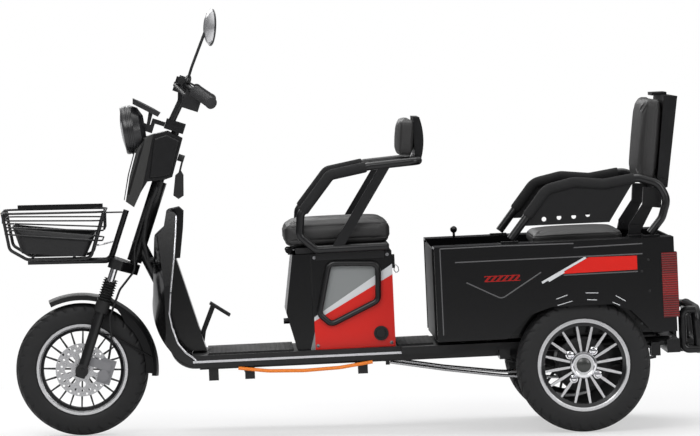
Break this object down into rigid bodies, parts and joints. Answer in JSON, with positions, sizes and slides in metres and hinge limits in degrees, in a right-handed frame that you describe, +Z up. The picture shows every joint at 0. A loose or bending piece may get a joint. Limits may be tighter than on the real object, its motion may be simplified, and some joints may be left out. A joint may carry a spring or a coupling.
{
  "type": "electric tricycle with driver seat and passenger box",
  "caption": "Three-wheeled electric scooter with basket, footboard, sprung seat box, and a passenger box with bench between the rear wheels.",
  "frame": {"origin": "on the ground under the middle of the vehicle's bounding box", "axes": "+X forwards, +Y to the vehicle's left, +Z up"},
  "size_m": [2.156, 0.742, 1.3169],
  "materials": {
    "black_paint": "gloss",
    "black_steel": "satin",
    "tyre_rubber": "matt",
    "rim_alloy": "machined",
    "bright_steel": "brushed",
    "chrome": "polished",
    "mat_rubber": "ribbed",
    "black_plastic": "grained",
    "gloss_plastic": "gloss",
    "vinyl": "grained",
    "foam": "foam",
    "orange_sleeve": "smooth",
    "lamp_red": "clear",
    "battery_case": "smooth",
    "trim_bright": "polished",
    "mirror_shell": "gloss"
  },
  "bodies": {
    "frame": {"main_frame": "black_steel", "rear_frame": "black_steel", "leg_shield": "gloss_plastic", "centre_tunnel": "gloss_plastic", "deck_floor": "black_plastic", "deck_mats": "mat_rubber", "deck_trim": "trim_bright", "brake_pedal": "black_steel", "brake_rods": "bright_steel", "power_cable": "orange_sleeve", "cable_loom": "black_plastic", "seat_box": "black_paint", "battery_pack": "battery_case", "seat_side_loops": "black_steel", "driver_armrests": "black_steel", "driver_arm_pads": "foam", "driver_backrest": "vinyl", "cargo_floor": "black_steel", "cargo_side_left": "black_paint", "cargo_side_right": "black_paint", "cargo_front_wall": "black_paint", "cargo_rear_wall": "black_paint", "bench_box": "black_steel", "rear_cushion": "vinyl", "rear_armrests": "black_steel", "rear_arm_pads": "foam", "backrest_brackets": "black_steel", "tail_lamps": "lamp_red", "rear_bumper": "black_steel", "rear_axle": "black_steel", "leaf_springs": "black_steel"},
    "steering": {"fork_crown": "black_steel", "fork_stanchions": "chrome", "fork_boots": "black_plastic", "fork_sliders": "black_steel", "front_mudguard": "gloss_plastic", "brake_caliper": "bright_steel", "brake_hose": "black_plastic", "basket_tub": "black_plastic", "basket_frame": "black_steel", "shroud": "gloss_plastic", "headlight": "gloss_plastic", "display": "gloss_plastic", "handlebar": "black_steel", "grips": "foam", "controls": "black_plastic", "mirrors": "mirror_shell", "ignition_key": "black_plastic"},
    "front_wheel": {"front_tyre": "tyre_rubber", "front_rim": "rim_alloy", "brake_disc": "bright_steel"},
    "rear_wheel_left": {"rear_tyre_left": "tyre_rubber", "rear_rim_left": "rim_alloy"},
    "rear_wheel_right": {"rear_tyre_right": "tyre_rubber", "rear_rim_right": "rim_alloy"},
    "seat_lid": {"driver_cushion": "vinyl", "seat_base": "black_plastic"},
    "rear_backrest": {"backrest_cushion": "vinyl", "backrest_shell": "black_steel"}
  },
  "joints": [
    {"name": "steer", "type": "hinge", "parent": "frame", "child": "steering", "pos_m": [0.672, 0, 0.5334], "axis": [-0.3239, 0, 0.9461], "range_deg": [-40, 40]},
    {"name": "front_wheel_spin", "type": "hinge", "parent": "steering", "child": "front_wheel", "pos_m": [0.83898, 0, 0.20498], "axis": [0, 1, 0], "continuous": true},
    {"name": "rear_left_spin", "type": "hinge", "parent": "frame", "child": "rear_wheel_left", "pos_m": [-0.693, 0.308, 0.205], "axis": [0, 1, 0], "continuous": true},
    {"name": "rear_right_spin", "type": "hinge", "parent": "frame", "child": "rear_wheel_right", "pos_m": [-0.693, -0.308, 0.205], "axis": [0, 1, 0], "continuous": true},
    {"name": "seat_lid_open", "type": "hinge", "parent": "frame", "child": "seat_lid", "pos_m": [0.19575, 0, 0.56038], "axis": [0, 1, 0], "range_deg": [0, 70]},
    {"name": "backrest_fold", "type": "hinge", "parent": "frame", "child": "rear_backrest", "pos_m": [-0.86537, 0, 0.60932], "axis": [0, 1, 0], "range_deg": [0, 80]}
  ]
}
